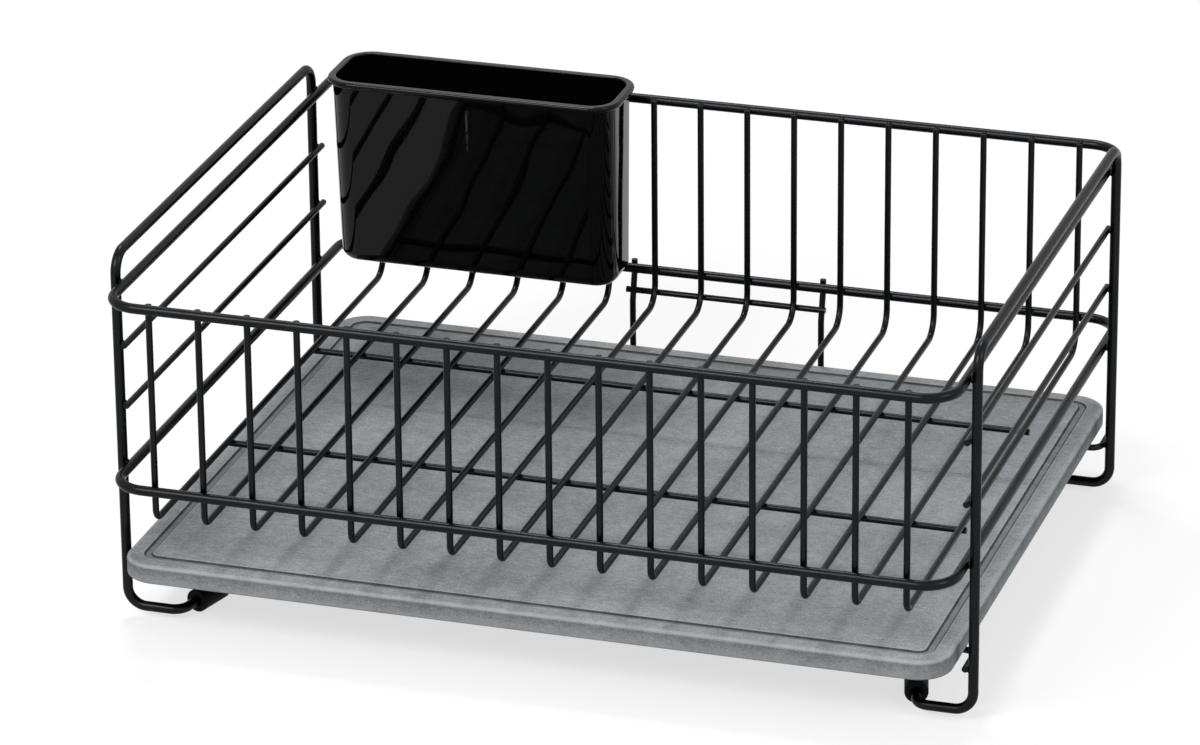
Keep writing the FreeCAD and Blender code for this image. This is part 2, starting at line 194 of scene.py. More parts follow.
class BoardSettings(bpy.types.PropertyGroup):
    """Stone drip board under the basket."""

    corner_radius: bpy.props.FloatProperty(
        name="Corner Radius", description="Rounding of the board's corners, seen from above",
        default=0.018, min=0.005, max=0.04, **LENGTH)
    top_edge: bpy.props.FloatProperty(
        name="Top Edge", description="Rounding of the top edge",
        default=0.002, min=0.0005, max=0.004, **LENGTH)
    bottom_edge: bpy.props.FloatProperty(
        name="Bottom Edge", description="Rounding of the bottom edge",
        default=0.0012, min=0.0005, max=0.004, **LENGTH)
    groove_inset: bpy.props.FloatProperty(
        name="Groove Inset", description="From the board's edge to the groove",
        default=0.009, min=0.006, max=0.03, **LENGTH)
    groove_width: bpy.props.FloatProperty(
        name="Groove Width", description="Width of the groove at its brinks",
        default=0.0048, min=0.002, max=0.012, **LENGTH)
    groove_depth: bpy.props.FloatProperty(
        name="Groove Depth", description="Depth of the groove",
        default=0.001, min=0.0003, max=0.003, **LENGTH)
    groove_slope: bpy.props.FloatProperty(
        name="Groove Slope",
        description="How far a groove wall leans out for each unit that it rises",
        default=0.7, min=0.0, max=1.5)
    stone_color: bpy.props.FloatVectorProperty(
        name="Stone Colour", description="Middle colour of the pressed stone",
        default=(0.285, 0.302, 0.314), **COLOR)


class PocketSettings(bpy.types.PropertyGroup):
    """Moulded cutlery pocket on the rear rim."""

    length: bpy.props.FloatProperty(
        name="Length", description="Length of the pocket's body at its mouth",
        default=0.164, min=0.08, max=0.25, **LENGTH)
    depth: bpy.props.FloatProperty(
        name="Depth", description="Depth of the pocket's body, front to back",
        default=0.050, min=0.03, max=0.08, **LENGTH)
    wall: bpy.props.FloatProperty(
        name="Wall", description="Thickness of the moulded wall",
        default=0.002, min=0.001, max=0.004, **LENGTH)
    corner_radius: bpy.props.FloatProperty(
        name="Corner Radius", description="Rounding of the pocket's upright corners",
        default=0.014, min=0.005, max=0.025, **LENGTH)
    bottom_radius: bpy.props.FloatProperty(
        name="Bottom Radius", description="Rounding from the walls to the floor",
        default=0.0065, min=0.003, max=0.012, **LENGTH)
    end_taper: bpy.props.FloatProperty(
        name="End Taper", description="How far each end wall leans inwards at the bottom",
        default=0.0015, min=0.0, max=0.005, **LENGTH)
    front_taper: bpy.props.FloatProperty(
        name="Front Taper", description="How far the front wall leans back at the bottom",
        default=0.007, min=0.0, max=0.012, **LENGTH)
    rear_taper: bpy.props.FloatProperty(
        name="Rear Taper", description="How far the rear wall leans forward at the bottom",
        default=0.0008, min=0.0, max=0.005, **LENGTH)
    slot_count: bpy.props.IntProperty(
        name="Slots", description="Drain slots in the floor of each compartment",
        default=4, min=1, max=6)
    plastic_color: bpy.props.FloatVectorProperty(
        name="Plastic Colour", description="Colour of the glossy plastic",
        default=(0.001, 0.001, 0.0011), **COLOR)


class StageSettings(bpy.types.PropertyGroup):
    """Floor, lamps and camera."""

    floor_size: bpy.props.FloatProperty(
        name="Floor Size", description="Length of the floor's side",
        default=14.0, min=2.0, max=40.0, subtype="DISTANCE", unit="LENGTH")
    lamp_power: bpy.props.FloatProperty(
        name="Lamp Power", description="Strength that each lamp takes its own share of",
        default=30.0, min=1.0, max=500.0, unit="POWER")
    room_light: bpy.props.FloatProperty(
        name="Room Light", description="Strength of the even light from all round",
        default=0.34, min=0.0, max=2.0)
    floor_color: bpy.props.FloatVectorProperty(
        name="Floor Colour", description="Colour of the plain floor",
        default=(0.36, 0.36, 0.36), **COLOR)


# Node trees and materials

class TreeBuilder:
    """Adds nodes to one tree; an input is given as a socket to link or as a value to set."""

    def __init__(self, tree):
        self.tree = tree

    def give(self, socket, value):
        """Links or sets one input."""
        if isinstance(value, bpy.types.NodeSocket):
            self.tree.links.new(value, socket)
        else:
            socket.default_value = value

    def feed(self, node, **values):
        """Gives a node its properties, or its inputs by name with spaces as underscores."""
        for key, value in values.items():
            if hasattr(node, key):
                setattr(node, key, value)
            else:
                self.give(node.inputs[key.replace("_", " ")], value)
        return node

    def add(self, kind, **values):
        """New node with its properties and inputs."""
        return self.feed(self.tree.nodes.new(kind), **values)

    def math(self, operation, first, second=None, clamp=False):
        """Result of a math node."""
        node = self.add("ShaderNodeMath", operation=operation, use_clamp=clamp)
        self.give(node.inputs[0], first)
        if second is not None:
            self.give(node.inputs[1], second)
        return node.outputs[0]

    def plus(self, first, second):
        """Sum of two inputs."""
        return self.math("ADD", first, second)

    def minus(self, first, second):
        """Difference of two inputs."""
        return self.math("SUBTRACT", first, second)

    def times(self, first, second, clamp=False):
        """Product of two inputs."""
        return self.math("MULTIPLY", first, second, clamp)

    def noise(self, place, scale, detail=4.0, roughness=0.55):
        """Noise texture on given coordinates; scale is in waves for each metre."""
        return self.add(
            "ShaderNodeTexNoise", Vector=place, Scale=scale, Detail=detail, Roughness=roughness,
        ).outputs["Fac"]

    def stretched(self, place, *scale):
        """Coordinates scaled by a factor for each axis."""
        return self.add("ShaderNodeMapping", Vector=place, Scale=scale).outputs["Vector"]

    def painted(self, attribute):
        """Value of a float attribute of the mesh."""
        return self.add("ShaderNodeAttribute", attribute_name=attribute).outputs["Fac"]

    def ramp(self, factor, stops):
        """Colour ramp with a list of (place, colour)."""
        node = self.add("ShaderNodeValToRGB", Fac=factor)
        elements = node.color_ramp.elements
        while len(elements) < len(stops):
            elements.new(0.5)
        for element, (place, color) in zip(elements, stops):
            element.position = place
            element.color = (*color, 1.0)
        return node.outputs["Color"]

    def spread(self, factor, given, wanted=(0.0, 1.0)):
        """Stretches a factor from one range to another, held at the ends."""
        return self.add(
            "ShaderNodeMapRange", Value=factor,
            From_Min=given[0], From_Max=given[1], To_Min=wanted[0], To_Max=wanted[1],
        ).outputs["Result"]

    def mix(self, factor, first, second):
        """Mixes two colours; each is a socket or three numbers."""
        node = self.add("ShaderNodeMix", data_type="RGBA")
        self.give(node.inputs[0], factor)
        colors = [socket for socket in node.inputs if socket.type == "RGBA"]
        for socket, value in zip(colors, (first, second)):
            is_socket = isinstance(value, bpy.types.NodeSocket)
            self.give(socket, value if is_socket else (*value, 1.0))
        return next(socket for socket in node.outputs if socket.type == "RGBA")

    def bump(self, height, distance, strength=1.0, below=None):
        """Bump node of a height in metres; below is a bump that it lies on."""
        node = self.add("ShaderNodeBump", Height=height, Distance=distance, Strength=strength)
        if below is not None:
            self.give(node.inputs["Normal"], below)
        return node.outputs["Normal"]


def new_material(name, specular):
    """Material with a Principled shader; returns it, its builder, shader and coordinates."""
    material = bpy.data.materials.new(name)
    material.use_nodes = True
    build = TreeBuilder(material.node_tree)
    shader = build.tree.nodes["Principled BSDF"]
    build.feed(shader, Specular_IOR_Level=specular, IOR=1.5)
    return material, build, shader, build.add("ShaderNodeTexCoord").outputs["Object"]


def scaled(color, factor):
    """A colour made lighter or darker."""
    return tuple(channel * factor for channel in color)


def wire_coat_material(color):
    """Satin black dip coat: faint orange peel, slow waves where it ran, a little dust."""
    material, build, shader, place = new_material("satin_wire_coat", specular=0.5)
    build.feed(shader, Metallic=1.0, Specular_Tint=(0.78, 0.78, 0.78, 1.0))
    cloud = build.noise(place, scale=60.0, detail=5.0)
    peel = build.noise(place, scale=1400.0, detail=2.0)
    run = build.noise(place, scale=190.0, detail=3.0)
    specks = build.noise(place, scale=3600.0, detail=2.0, roughness=0.7)
    dust = build.spread(specks, (0.66, 0.74))
    body = build.mix(cloud, scaled(color, 0.75), scaled(color, 1.35))
    gloss = build.spread(run, (0.3, 0.7), (0.25, 0.32))
    waves = build.bump(run, distance=0.00006, strength=0.4)
    build.feed(
        shader,
        Base_Color=build.mix(dust, body, scaled(color, 4.0)),
        Roughness=build.plus(gloss, build.times(dust, 0.15)),
        Normal=build.bump(peel, distance=0.000012, strength=0.5, below=waves),
    )
    return material


def rubber_material(color):
    """Matt moulded rubber with a fine grain and chalky wear."""
    material, build, shader, place = new_material("matt_cap_rubber", specular=0.16)
    grain = build.noise(place, scale=2600.0, detail=3.0, roughness=0.6)
    cloud = build.noise(place, scale=150.0)
    chalk = build.spread(cloud, (0.52, 0.78))
    build.feed(
        shader,
        Base_Color=build.mix(chalk, color, scaled(color, 2.4)),
        Roughness=build.spread(grain, (0.3, 0.7), (0.66, 0.84)),
        Normal=build.bump(grain, distance=0.00006, strength=0.8),
    )
    return material


def stone_material(color):
    """Pressed mineral: cloudy, faintly woven, dark and pale grains, rubbed brinks with a painted
    highlight, painted shade in the groove.
    """
    material, build, shader, place = new_material("pressed_stone", specular=0.2)
    broad = build.noise(place, scale=12.0, detail=4.0, roughness=0.6)
    middle = build.noise(place, scale=110.0, detail=5.0, roughness=0.65)
    fine = build.noise(place, scale=1300.0, detail=3.0, roughness=0.7)
    strands = build.stretched(place, 170.0, 620.0, 620.0)
    woven = build.noise(strands, scale=1.0, detail=4.0, roughness=0.65)
    clouds = build.plus(build.times(broad, 0.4), build.times(middle, 0.25))
    clouds = build.plus(clouds, build.times(woven, 0.35))
    stops = [(0.38, scaled(color, 0.66)), (0.5, color), (0.62, scaled(color, 1.36))]
    body = build.ramp(clouds, stops)
    body = build.mix(build.spread(fine, (0.5, 0.25)), body, scaled(color, 0.6))
    body = build.mix(build.spread(fine, (0.5, 0.75)), body, scaled(color, 1.5))

    # A few cells of a fine pattern are dark grains, and a few are pale ones
    cells = build.add("ShaderNodeTexVoronoi", Vector=place, Scale=800.0)
    pick = build.add("ShaderNodeSeparateColor", Color=cells.outputs["Color"])
    near = build.spread(cells.outputs["Distance"], (0.42, 0.24))
    dark = build.times(near, build.math("GREATER_THAN", pick.outputs["Red"], 0.93))
    pale = build.times(near, build.math("GREATER_THAN", pick.outputs["Green"], 0.92))
    body = build.mix(build.times(dark, 0.5), body, scaled(color, 0.4))
    body = build.mix(build.times(pale, 0.5), body, scaled(color, 1.8))

    # The mesh attribute is above 0 on the edges, rubbed pale and given a painted highlight,
    # and below 0 in the groove, given painted shade
    wear_and_painted_light = build.painted("wear_and_painted_light")
    rubbed_and_highlight = build.spread(middle, (0.3, 0.6), (0.5, 1.0))
    groove_shade = build.spread(middle, (0.3, 0.6), (-1.0, -0.85))
    # Paler colour on the edges: rubbed, and a painted highlight
    body = build.mix(build.times(wear_and_painted_light, rubbed_and_highlight, clamp=True), body, scaled(color, 1.6))
    # Far darker colour in the groove: painted shade
    body = build.mix(build.times(wear_and_painted_light, groove_shade, clamp=True), body, scaled(color, 0.12))
    pores = build.minus(fine, build.times(dark, 0.5))
    relief = build.bump(middle, distance=0.0002, strength=0.35)
    relief = build.bump(woven, distance=0.00012, strength=0.4, below=relief)
    build.feed(
        shader,
        Base_Color=body,
        Roughness=build.spread(fine, (0.3, 0.7), (0.78, 0.95)),
        Normal=build.bump(pores, distance=0.00018, strength=0.6, below=relief),
    )
    return material


def gloss_material(color):
    """Polished moulding: faint waves, a sink line over the divider, fine scratches, dull inside."""
    material, build, shader, place = new_material("gloss_plastic", specular=0.16)
    slow = build.noise(place, scale=17.0, detail=1.0, roughness=0.4)
    haze = build.noise(place, scale=240.0, detail=4.0, roughness=0.6)
    streaks = build.stretched(place, 2600.0, 2600.0, 160.0)
    scratch = build.spread(build.noise(streaks, scale=1.0, detail=2.0), (0.64, 0.78))
    inside = build.painted("inside")
    body = build.mix(haze, scaled(color, 0.85), scaled(color, 1.2))
    polish = build.spread(haze, (0.3, 0.7), (0.02, 0.045))
    polish = build.plus(polish, build.times(scratch, 0.04))
    polish = build.plus(polish, build.times(inside, 0.14))

    # The sink line starts under the lip and fades out downwards
    low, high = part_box("cutlery_pocket")
    split = build.add("ShaderNodeSeparateXYZ", Vector=place).outputs
    off_line = build.math("ABSOLUTE", build.minus(split["X"], (low.x + high.x) / 2))
    line = build.spread(off_line, (0.0012, 0.0))
    fade = build.spread(split["Z"], (high.z - 0.036, high.z - 0.018))
    start = build.spread(split["Z"], (high.z - 0.010, high.z - 0.013))
    ridge = build.times(build.times(line, fade), start)
    relief = build.bump(slow, distance=0.0022, strength=0.5)
    relief = build.bump(ridge, distance=0.0007, below=relief)
    build.feed(
        shader,
        Base_Color=build.mix(inside, body, scaled(color, 1.6)),
        Roughness=polish,
        Normal=build.bump(scratch, distance=0.000004, strength=0.5, below=relief),
    )
    return material


def shared_material(name, maker, color):
    """Material of that name, made the first time that it is asked for."""
    return bpy.data.materials.get(name) or maker(color)


def wire_coat():
    """The coat of every wire and weld."""
    color = bpy.context.scene.drainer_wire.coat_color
    return shared_material("satin_wire_coat", wire_coat_material, color)


# Objects and Geometry Nodes

def add_object(name, data):
    """New object in the scene."""
    thing = bpy.data.objects.new(name, data)
    bpy.context.collection.objects.link(thing)
    return thing


def baked_mesh(thing, name):
    """Mesh of an object with its modifiers worked in."""
    evaluated = thing.evaluated_get(bpy.context.evaluated_depsgraph_get())
    mesh = bpy.data.meshes.new_from_object(evaluated)
    mesh.name = name
    return mesh


def new_tree(name, **inputs):
    """Geometry tree with inputs by name and kind; returns its builder and its input sockets."""
    tree = bpy.data.node_groups.new(name, "GeometryNodeTree")
    for label, kind in inputs.items():
        tree.interface.new_socket(
            name=label.replace("_", " "), in_out="INPUT", socket_type="NodeSocket" + kind)
    tree.interface.new_socket(
        name="Geometry", in_out="OUTPUT", socket_type="NodeSocketGeometry")
    build = TreeBuilder(tree)
    return build, build.add("NodeGroupInput").outputs


def finish_tree(build, given, geometry):
    """Smooth shading, real geometry and one material, then the output."""
    smooth = build.add("GeometryNodeSetShadeSmooth", Geometry=geometry)
    real = build.add("GeometryNodeRealizeInstances", Geometry=smooth.outputs[0])
    paint = build.add(
        "GeometryNodeSetMaterial", Geometry=real.outputs[0], Material=given["Finish"])
    build.add("NodeGroupOutput", Geometry=paint.outputs[0])
    return build.tree


def coated_wire_tree():
    """Round wire swept along a path of points; each point's attribute bend is its bend radius."""
    build, given = new_tree(
        "Coated Wire", Geometry="Geometry", Diameter="Float", Sides="Int",
        Bend_Segments="Int", End_Rounding="Float", Closed="Bool", Finish="Material")
    path = build.add("GeometryNodeMeshToCurve", Mesh=given["Geometry"])
    bend = build.add("GeometryNodeInputNamedAttribute", data_type="FLOAT", Name="bend")
    fillet = build.add(
        "GeometryNodeFilletCurve", mode="POLY", Curve=path.outputs["Curve"],
        Radius=bend.outputs["Attribute"], Count=given["Bend Segments"])

    # The radius falls off over the last part of an open wire, which rounds its ends
    radius = build.times(given["Diameter"], 0.5)
    reach = build.times(radius, given["End Rounding"])
    along = build.add("GeometryNodeSplineParameter").outputs["Length"]
    whole = build.add("GeometryNodeSplineLength").outputs["Length"]
    to_end = build.math("MINIMUM", along, build.minus(whole, along))
    inside = build.math("DIVIDE", build.minus(reach, to_end), reach, clamp=True)
    share = build.math("SQRT", build.minus(1.0, build.times(inside, inside)))
    share = build.math("MAXIMUM", share, END_TIP_SHARE)
    share = build.math("MAXIMUM", share, given["Closed"])
    size = build.add(
        "GeometryNodeSetCurveRadius", Curve=fillet.outputs["Curve"], Radius=share)
    circle = build.add(
        "GeometryNodeCurvePrimitiveCircle", Resolution=given["Sides"], Radius=radius)
    sweep = build.add(
        "GeometryNodeCurveToMesh", Curve=size.outputs["Curve"],
        Profile_Curve=circle.outputs["Curve"], Fill_Caps=True)
    return finish_tree(build, given, sweep.outputs["Mesh"])


def weld_tree():
    """Small flat beads on points; attribute facing turns a bead and size scales it."""
    build, given = new_tree(
        "Coated Welds", Geometry="Geometry", Weld_Size="Float", Flatness="Float",
        Unevenness="Float", Seed="Int", Finish="Material")
    ball = build.add("GeometryNodeMeshIcoSphere", Radius=1.0, Subdivisions=3)
    facing = build.add(
        "GeometryNodeInputNamedAttribute", data_type="FLOAT_VECTOR", Name="facing")
    turn = build.add(
        "FunctionNodeAlignRotationToVector", axis="Z", Vector=facing.outputs["Attribute"])
    size = build.add("GeometryNodeInputNamedAttribute", data_type="FLOAT", Name="size")
    vary = build.add("FunctionNodeRandomValue", data_type="FLOAT", Seed=given["Seed"])
    limits = [socket for socket in vary.inputs if socket.type == "VALUE"]
    build.give(limits[0], build.minus(1.0, given["Unevenness"]))
    build.give(limits[1], build.plus(1.0, given["Unevenness"]))
    uneven = next(socket for socket in vary.outputs if socket.type == "VALUE")
    wide = build.times(given["Weld Size"], size.outputs["Attribute"])
    wide = build.times(wide, uneven)
    flat = build.times(wide, given["Flatness"])
    scale = build.add("ShaderNodeCombineXYZ", X=wide, Y=wide, Z=flat)
    beads = build.add(
        "GeometryNodeInstanceOnPoints", Points=given["Geometry"],
        Instance=ball.outputs["Mesh"], Rotation=turn.outputs["Rotation"],
        Scale=scale.outputs["Vector"])
    return finish_tree(build, given, beads.outputs["Instances"])


def shared_tree(name, maker):
    """Node tree of that name, made the first time that it is asked for."""
    return bpy.data.node_groups.get(name) or maker()


def grow(name, mesh, tree, inputs):
    """Runs a geometry tree on a mesh and returns the result as a plain mesh object."""
    seed_object = add_object(name + "_path", mesh)
    modifier = seed_object.modifiers.new("Shape", "NODES")
    modifier.node_group = tree
    for item in tree.interface.items_tree:
        if item.in_out == "INPUT" and item.name in inputs:
            modifier[item.identifier] = inputs[item.name]
    result = baked_mesh(seed_object, name)
    bpy.data.objects.remove(seed_object)
    return add_object(name, result)


# Wires

def with_end_points(points, bends, rounding):
    """Adds points close to both ends of an open path, so that the ends can be rounded."""
    steps = [rounding * (1 - math.cos(math.radians(angle))) for angle in END_ANGLES]
    first = (points[1] - points[0]).normalized()
    last = (points[-2] - points[-1]).normalized()
    head = [points[0] + first * step for step in steps]
    tail = [points[-1] + last * step for step in reversed(steps)]
    path = [points[0]] + head + list(points[1:-1]) + tail + [points[-1]]
    radii = [0.0] * (1 + len(head)) + list(bends) + [0.0] * (1 + len(tail))
    return path, radii


def make_wire(node, points, bends, diameter, closed=False):
    """One coated wire that stands for the CAD node of the same piece."""
    settings = bpy.context.scene.drainer_wire
    points = [Vector(point) for point in points]
    if not closed:
        rounding = settings.end_rounding * diameter / 2
        points, bends = with_end_points(points, bends, rounding)
    mesh = bpy.data.meshes.new(node + "_path")
    edges = [(index, index + 1) for index in range(len(points) - 1)]
    if closed:
        edges.append((len(points) - 1, 0))
    mesh.from_pydata(points, edges, [])
    bend = mesh.attributes.new("bend", "FLOAT", "POINT")
    bend.data.foreach_set("value", bends)
    piece = grow(node + "_coated", mesh, shared_tree("Coated Wire", coated_wire_tree), {
        "Diameter": diameter,
        "Sides": settings.sides,
        "Bend Segments": settings.bend_segments,
        "End Rounding": settings.end_rounding,
        "Closed": closed,
        "Finish": wire_coat(),
    })
    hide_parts(node)
    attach(piece, "rack")


def wire_to_ring():
    """Distance between the centre lines of a basket wire and the frame wire it is welded to."""
    settings = bpy.context.scene.drainer_wire
    return (settings.frame_diameter + settings.basket_diameter) / 2 - WIRE_SINK


def leg_x():
    """Centre line of the legs, outside the rings."""
    return RING_HALF_LENGTH + bpy.context.scene.drainer_wire.frame_diameter - WIRE_SINK


def foot_tail(side, leg_y, inward):
    """Corner of a foot, and the direction of the tail that ends it."""
    height = bpy.context.scene.drainer_cap.diameter / 2
    corner = Vector((side * (leg_x() - FOOT_REACH), leg_y, height))
    return corner, Vector((-side * math.sin(FOOT_TOE_IN), inward * math.cos(FOOT_TOE_IN), 0.0))


def wire_row():
    """X of each basket wire."""
    return [(index - (WIRE_COUNT - 1) / 2) * WIRE_PITCH for index in range(WIRE_COUNT)]


def side_wire_heights():
    """Heights of the two side wires, in thirds between the rings."""
    gap = (RIM_HEIGHT - LOWER_HEIGHT) / 3
    return {"upper": RIM_HEIGHT - gap, "lower": RIM_HEIGHT - 2 * gap}


class DRAINER_OT_rings(bpy.types.Operator):
    """Make the rim and the lower ring"""

    bl_idname = "drainer.rings"
    bl_label = "Rings"

    def execute(self, context):
        wire = context.scene.drainer_wire
        for node, height in (("rim_ring", RIM_HEIGHT), ("lower_ring", LOWER_HEIGHT)):
            corners = [
                (x * RING_HALF_LENGTH, y * RING_HALF_DEPTH, height)
                for x, y in ((-1, -1), (1, -1), (1, 1), (-1, 1))
            ]
            make_wire(node, corners, [RING_BEND] * 4, wire.frame_diameter, closed=True)
        return {"FINISHED"}


class DRAINER_OT_basket_wires(bpy.types.Operator):
    """Make the bent wires of the basket and the straight wires under its floor"""

    bl_idname = "drainer.basket_wires"
    bl_label = "Basket Wires"

    def execute(self, context):
        diameter = context.scene.drainer_wire.basket_diameter
        side = RING_HALF_DEPTH - wire_to_ring()
        top = RIM_HEIGHT + WIRE_TOP_RISE
        for index, x in enumerate(wire_row()):
            points = [
                (x, -side, top),
                (x, -side, WIRE_FLOOR_HEIGHT),
                (x, side, WIRE_FLOOR_HEIGHT),
                (x, side, top),
            ]
            node = "basket_wire_%02d" % (index + 1)
            make_wire(node, points, [FRONT_BEND, REAR_BEND], diameter)
        reach = wire_row()[-1] + FLOOR_WIRE_OVERHANG
        height = WIRE_FLOOR_HEIGHT - diameter + WIRE_SINK
        for node, side in (("front_floor_wire", -1), ("rear_floor_wire", 1)):
            y = side * FLOOR_WIRE_SPACING / 2
            ends = [(-reach, y, height), (reach, y, height)]
            make_wire(node, ends, [], diameter)
        return {"FINISHED"}


class DRAINER_OT_end_frames(bpy.types.Operator):
    """Make the two end frames with their legs and feet, and the side wires between the legs"""

    bl_idname = "drainer.end_frames"
    bl_label = "End Frames"

    def execute(self, context):
        wire = context.scene.drainer_wire
        foot_height = context.scene.drainer_cap.diameter / 2
        for name, side in (("left", -1), ("right", 1)):
            x = side * leg_x()
            front_corner, front_tail = foot_tail(side, FRONT_LEG_Y, 1)
            rear_corner, rear_tail = foot_tail(side, REAR_LEG_Y, -1)
            points = [
                front_corner + front_tail * FOOT_TAIL,
                front_corner,
                (x, FRONT_LEG_Y, foot_height),
                (x, FRONT_LEG_Y, TOP_RAIL_HEIGHT),
                (x, REAR_LEG_Y, TOP_RAIL_HEIGHT),
                (x, REAR_LEG_Y, foot_height),
                rear_corner,
                rear_corner + rear_tail * FOOT_TAIL,
            ]
            bends = [
                FOOT_TURN, FOOT_BEND, TOP_RAIL_BEND, TOP_RAIL_BEND, FOOT_BEND, FOOT_TURN,
            ]
            make_wire(name + "_end_frame", points, bends, wire.frame_diameter)
            inner_x = side * (leg_x() - wire_to_ring())
            for level, height in side_wire_heights().items():
                ends = [
                    (inner_x, FRONT_LEG_Y - SIDE_WIRE_OVERHANG, height),
                    (inner_x, REAR_LEG_Y + SIDE_WIRE_OVERHANG, height),
                ]
                node = "%s_%s_side_wire" % (name, level)
                make_wire(node, ends, [], wire.basket_diameter)
        return {"FINISHED"}


class DRAINER_OT_board_supports(bpy.types.Operator):
    """Make the two wires that carry the board and the stop behind it"""

    bl_idname = "drainer.board_supports"
    bl_label = "Board Supports and Stop"

    def execute(self, context):
        wire = context.scene.drainer_wire
        radius = wire.basket_diameter / 2
        inner_x = leg_x() - wire_to_ring()
        for node, side in (("front_board_support", -1), ("rear_board_support", 1)):
            low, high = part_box(node)
            tip, run = (low.y, high.y - radius) if side < 0 else (high.y, low.y + radius)
            points = [
                (-inner_x, tip, SUPPORT_HEIGHT),
                (-inner_x, run, SUPPORT_HEIGHT),
                (inner_x, run, SUPPORT_HEIGHT),
                (inner_x, tip, SUPPORT_HEIGHT),
            ]
            make_wire(node, points, [SUPPORT_BEND, SUPPORT_BEND], wire.basket_diameter)
        top_y = RING_HALF_DEPTH + wire_to_ring()
        jog_top = LOWER_HEIGHT - wire.frame_diameter / 2
        for name, side in (("left", -1), ("right", 1)):
            node = name + "_stop_upright"
            low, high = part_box(node)
            x = side * STOP_SPACING / 2
            points = [
                (x, top_y, high.z),
                (x, top_y, jog_top),
                (x, top_y - STOP_JOG, jog_top - STOP_JOG_DROP),
                (x, top_y - STOP_JOG, low.z),
            ]
            make_wire(node, points, [STOP_BEND, STOP_BEND], wire.basket_diameter)
        low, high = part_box("stop_crossbar")
        middle = (low + high) / 2
        ends = [(low.x, middle.y, middle.z), (high.x, middle.y, middle.z)]
        make_wire("stop_crossbar", ends, [], wire.basket_diameter)
        return {"FINISHED"}


def weld_points():
    """Every welded crossing: its place, the way the wires face and its share of the weld size."""
    wire = bpy.context.scene.drainer_wire
    frame_reach = wire.frame_diameter / 2 - WIRE_SINK / 2
    ring_y = RING_HALF_DEPTH - frame_reach
    behind_y = RING_HALF_DEPTH + frame_reach
    ring_x = RING_HALF_LENGTH + frame_reach
    touch_x = leg_x() - frame_reach
    under = WIRE_FLOOR_HEIGHT - wire.basket_diameter / 2 + WIRE_SINK / 2
    low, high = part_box("stop_crossbar")
    bar_height = (low.z + high.z) / 2
    leg_heights = list(side_wire_heights().values()) + [SUPPORT_HEIGHT]
    along_x, along_y, along_z = (1, 0, 0), (0, 1, 0), (0, 0, 1)
    welds = []
    for x in wire_row():
        for side in (-1, 1):
            for height in (RIM_HEIGHT, LOWER_HEIGHT):
                welds.append(((x, side * ring_y, height), along_y, 1.0))
            welds.append(((x, side * FLOOR_WIRE_SPACING / 2, under), along_z, SMALL_WELD))
    for side in (-1, 1):
        for leg_y in (FRONT_LEG_Y, REAR_LEG_Y):
            for height in (RIM_HEIGHT, LOWER_HEIGHT):
                welds.append(((side * ring_x, leg_y, height), along_x, LARGE_WELD))
            for height in leg_heights:
                welds.append(((side * touch_x, leg_y, height), along_x, 1.0))
        stop_x = side * STOP_SPACING / 2
        welds.append(((stop_x, behind_y, LOWER_HEIGHT), along_y, 1.0))
        welds.append(((stop_x, high.y, bar_height), along_y, SMALL_WELD))
    return welds


class DRAINER_OT_welds(bpy.types.Operator):
    """Make the coated welds at every crossing of two wires"""

    bl_idname = "drainer.welds"
    bl_label = "Welds"

    def execute(self, context):
        places, ways, shares = zip(*weld_points())
        mesh = bpy.data.meshes.new("weld_points")
        mesh.from_pydata(places, [], [])
        facing = mesh.attributes.new("facing", "FLOAT_VECTOR", "POINT")
        facing.data.foreach_set("vector", [value for way in ways for value in way])
        sizes = mesh.attributes.new("size", "FLOAT", "POINT")
        sizes.data.foreach_set("value", shares)
        piece = grow("coated_welds", mesh, shared_tree("Coated Welds", weld_tree), {
            "Weld Size": context.scene.drainer_wire.weld_size,
            "Flatness": WELD_FLATNESS,
            "Unevenness": WELD_UNEVENNESS,
            "Seed": WELD_SEED,
            "Finish": wire_coat(),
        })
        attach(piece, "rack")
        return {"FINISHED"}


# Lofted pieces

def rounded_loop(centre, length, depth, radius, height, segments):
    """Points round a rectangle with rounded corners, anticlockwise seen from above."""
    radius = max(radius, SMALLEST_CORNER)
    points = []
    for quarter, (side_x, side_y) in enumerate(((1, 1), (-1, 1), (-1, -1), (1, -1))):
        corner_x = centre[0] + side_x * (length / 2 - radius)
        corner_y = centre[1] + side_y * (depth / 2 - radius)
        for step in range(segments + 1):
            angle = math.pi / 2 * (quarter + step / segments)
            x = corner_x + radius * math.cos(angle)
            y = corner_y + radius * math.sin(angle)
            points.append(Vector((x, y, height)))
    return points


def add_skin(bm, lower, upper):
    """Faces between two closed rows of vertices."""
    for index in range(len(lower)):
        after = (index + 1) % len(lower)
        bm.faces.new((lower[index], lower[after], upper[after], upper[index]))


def add_loft(bm, loops, marks=None, layer=None):
    """Closed skin over loops of points; marks fills a float layer, one value for each loop."""
    rows = []
    for index, loop in enumerate(loops):
        row = [bm.verts.new(point) for point in loop]
        if marks is not None:
            for vertex in row:
                vertex[layer] = marks[index]
        rows.append(row)
    for lower, upper in zip(rows, rows[1:]):
        add_skin(bm, lower, upper)
    bm.faces.new(list(reversed(rows[0])))
    bm.faces.new(rows[-1])


def mesh_from(bm, name):
    """Mesh of a bmesh whose faces all look outwards."""
    bmesh.ops.recalc_face_normals(bm, faces=bm.faces)
    mesh = bpy.data.meshes.new(name)
    bm.to_mesh(mesh)
    bm.free()
    return mesh


def smooth_object(name, bm, material):
    """Object from a bmesh, smooth all over."""
    for face in bm.faces:
        face.smooth = True
    mesh = mesh_from(bm, name)
    mesh.materials.append(material)
    return add_object(name, mesh)


def arc_steps(count):
    """Sine and cosine at even steps over a quarter turn."""
    angles = [math.pi / 2 * index / count for index in range(count + 1)]
    return [(math.sin(angle), math.cos(angle)) for angle in angles]


